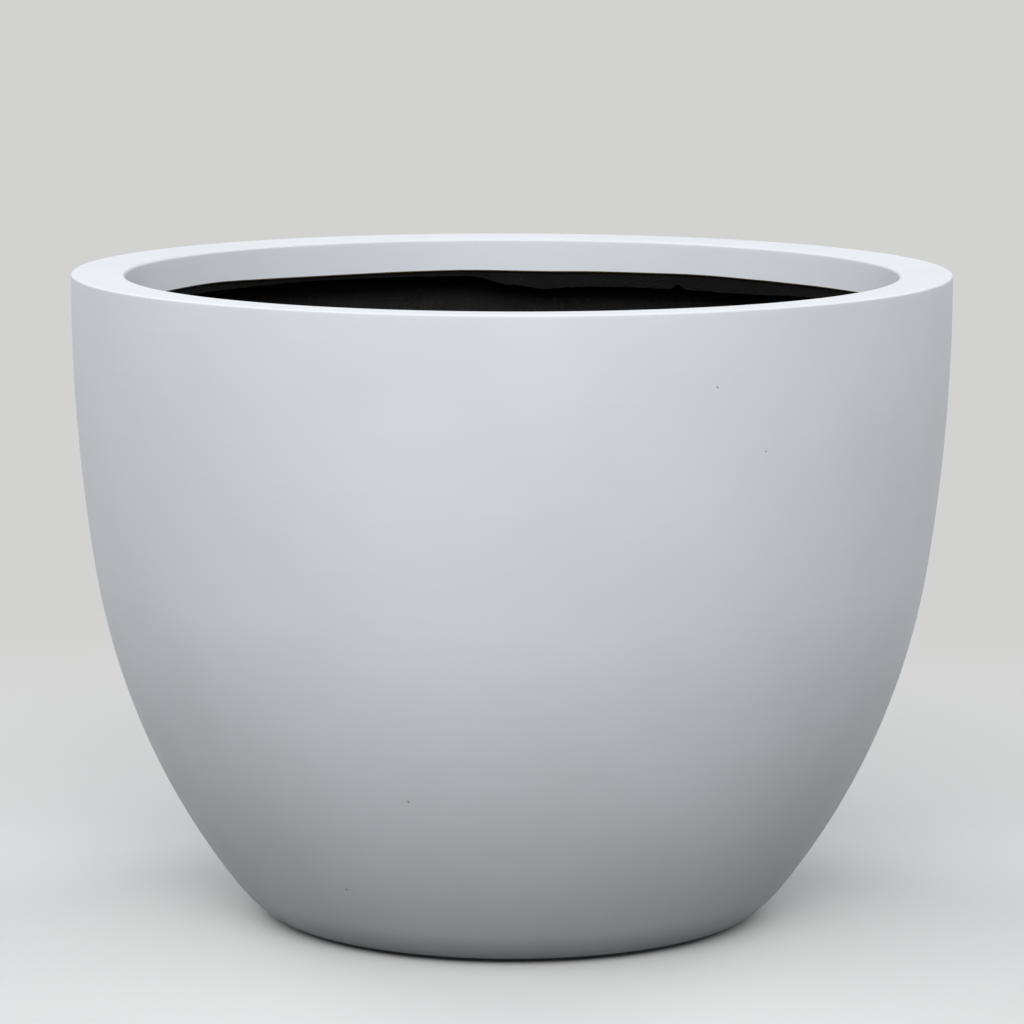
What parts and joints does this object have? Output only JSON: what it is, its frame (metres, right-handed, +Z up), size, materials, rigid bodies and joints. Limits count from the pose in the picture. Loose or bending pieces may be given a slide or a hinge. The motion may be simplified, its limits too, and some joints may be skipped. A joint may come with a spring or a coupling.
{
  "type": "bowl planter",
  "caption": "Large round bowl planter in painted glass-fibre laminate, with a flat turned-in rim, a black-coated inside, plugged drains and low feet.",
  "frame": {"origin": "on the ground under the middle of the base, on the bowl's axis", "axes": "+Z up along the bowl's axis of revolution; +X and +Y level, with one drain on +Y and the feet on the diagonals"},
  "size_m": [0.8, 0.8, 0.5919],
  "materials": {
    "white_paint": "satin cool-white paint over sanded glass-fibre laminate",
    "black_coating": "black coating brushed over bare laminate, dull, with the strands showing through",
    "plywood": "bare plywood, sealed in between the laminates",
    "grey_plastic": "moulded grey nylon",
    "black_rubber": "dull black rubber",
    "stainless_steel": "plain stainless steel"
  },
  "bodies": {
    "planter": {"outer_shell": "white_paint", "rim_ring": "white_paint", "rim_joint_tape": "black_coating", "base_board": "plywood", "inner_skin": "black_coating", "drain_bush_1": "grey_plastic", "drain_bush_2": "grey_plastic", "drain_bush_3": "grey_plastic", "foot_pad_1": "black_rubber", "foot_screw_1": "stainless_steel", "foot_pad_2": "black_rubber", "foot_screw_2": "stainless_steel", "foot_pad_3": "black_rubber", "foot_screw_3": "stainless_steel", "foot_pad_4": "black_rubber", "foot_screw_4": "stainless_steel"},
    "plug_1": {"drain_plug_1": "black_rubber"},
    "plug_2": {"drain_plug_2": "black_rubber"},
    "plug_3": {"drain_plug_3": "black_rubber"}
  },
  "joints": [
    {"name": "plug_1_lift", "type": "slide", "parent": "planter", "child": "plug_1", "axis": [0, 0, 1], "range_m": [0, 0.6]},
    {"name": "plug_2_lift", "type": "slide", "parent": "planter", "child": "plug_2", "axis": [0, 0, 1], "range_m": [0, 0.6]},
    {"name": "plug_3_lift", "type": "slide", "parent": "planter", "child": "plug_3", "axis": [0, 0, 1], "range_m": [0, 0.6]}
  ]
}
